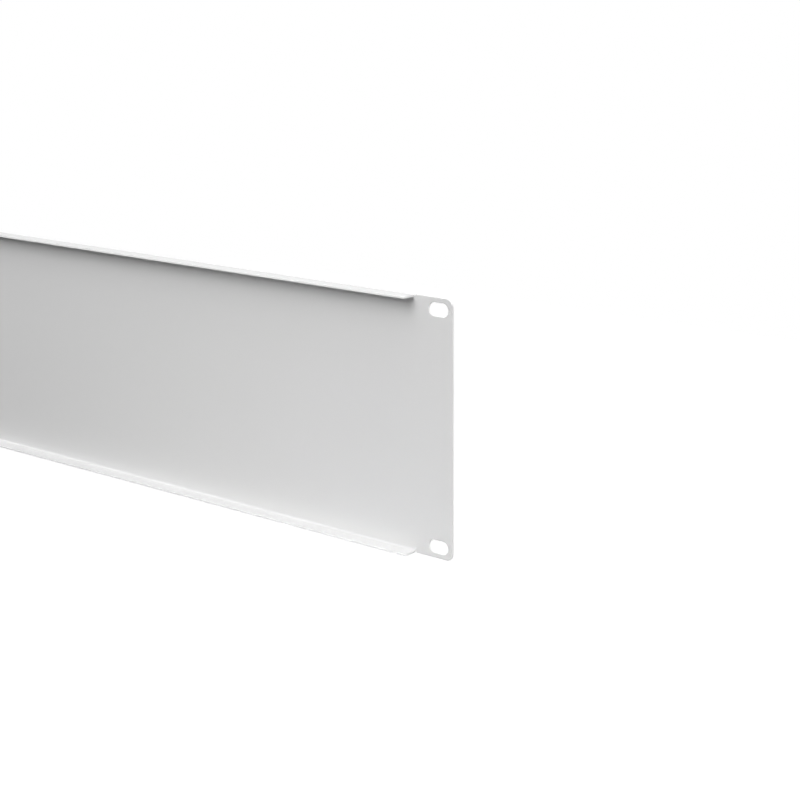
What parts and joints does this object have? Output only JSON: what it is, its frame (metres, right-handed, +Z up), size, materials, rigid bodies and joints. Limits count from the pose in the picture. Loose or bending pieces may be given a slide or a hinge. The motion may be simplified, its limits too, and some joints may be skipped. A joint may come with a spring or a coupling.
{
  "type": "rack blanking panel",
  "caption": "Plain folded steel panel that closes three units of a 19-inch rack, with flat ears, obround mounting slots and two rear flanges.",
  "frame": {"origin": "middle of the four mounting slots, on the rear seating face of the ears", "axes": "+X along the panel's width, +Z up, +Y back into the rack along the flanges; the plain front looks towards -Y"},
  "size_m": [0.4826, 0.0092, 0.1326],
  "materials": {
    "powder_coat": "light grey powder coat, fine texture, satin"
  },
  "bodies": {
    "root": {"panel": "powder_coat"}
  },
  "joints": []
}
